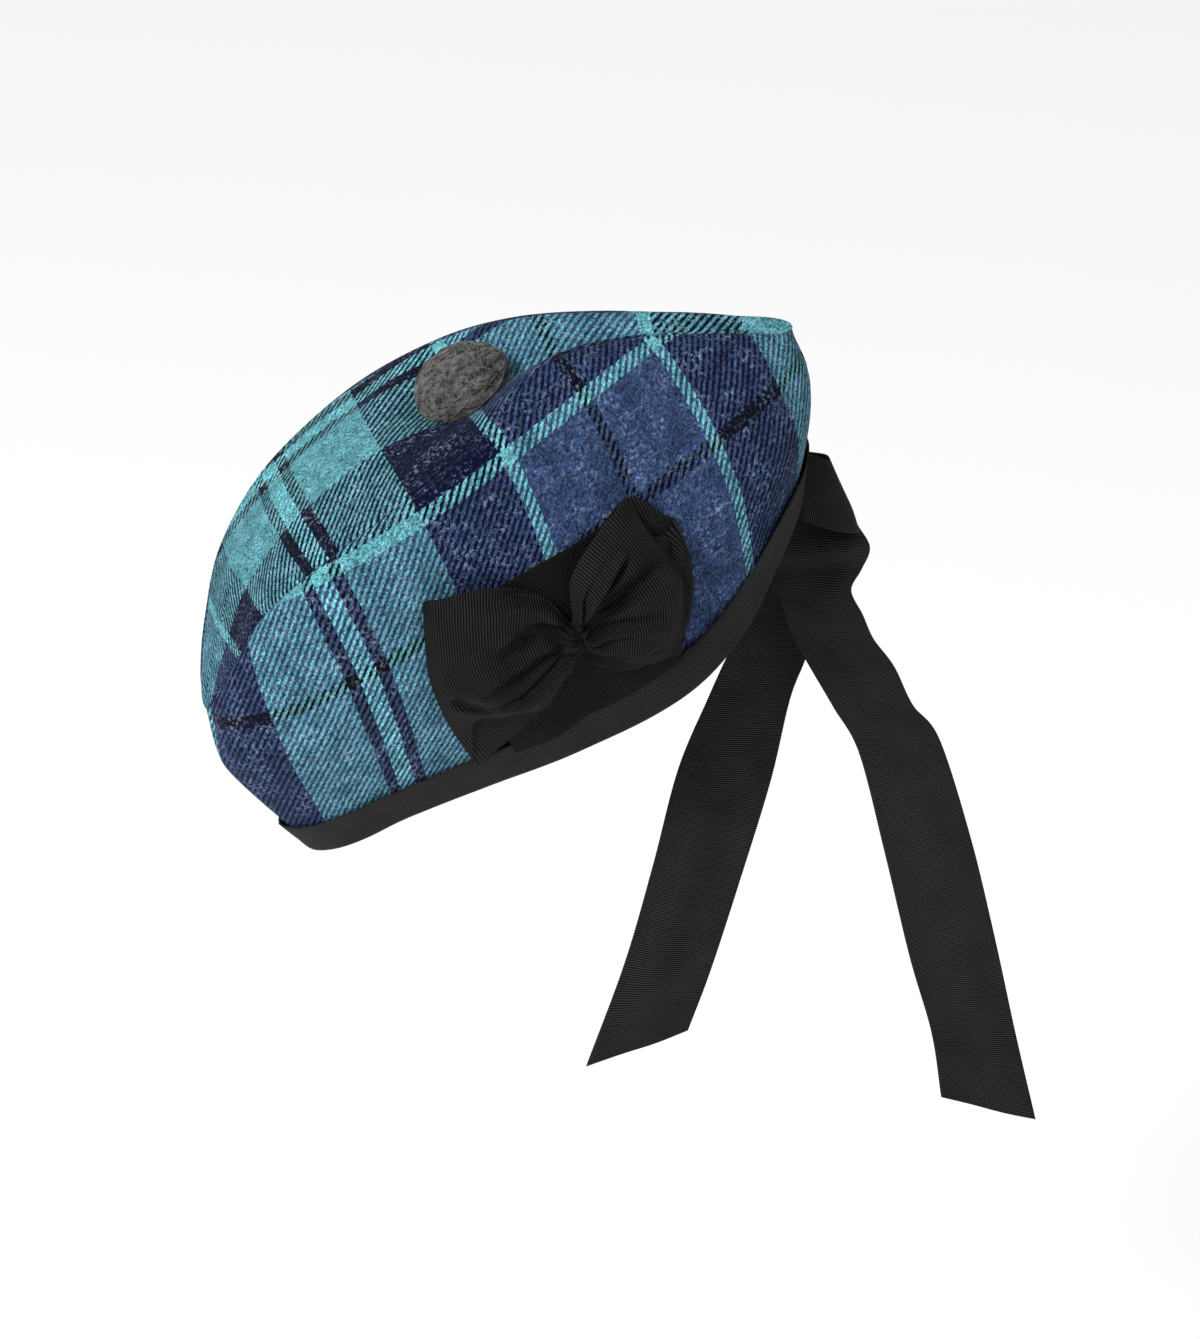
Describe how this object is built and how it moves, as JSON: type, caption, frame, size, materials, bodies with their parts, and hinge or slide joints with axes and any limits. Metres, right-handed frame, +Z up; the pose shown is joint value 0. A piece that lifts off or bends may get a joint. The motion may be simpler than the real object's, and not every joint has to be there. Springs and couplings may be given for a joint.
{
  "type": "glengarry",
  "caption": "Boat-shaped tartan wool cap with a creased top, black bound edge, ribbon bow on the left, grey toorie and ribbon tails at the back.",
  "frame": {"origin": "Middle of the head opening, level with the rim. The cap leans 28 degrees nose down on it, as the picture shows it, and its tails hang straight down.", "axes": "+X from the front of the cap to its back, +Y to the wearer's right, so the bow is on the -Y side, +Z up."},
  "size_m": [0.3343, 0.1404, 0.3631],
  "materials": {
    "tartan_wool": "brushed woven wool",
    "black_grosgrain": "ribbed ribbon, low sheen",
    "grey_wool": "felted wound yarn"
  },
  "bodies": {
    "root": {"side_left": "tartan_wool", "side_right": "tartan_wool", "top_panel": "tartan_wool", "edge_binding": "black_grosgrain", "bow_backing": "black_grosgrain", "bow": "black_grosgrain", "toorie": "grey_wool", "back_loop": "black_grosgrain", "tail_left": "black_grosgrain", "tail_right": "black_grosgrain"}
  },
  "joints": []
}
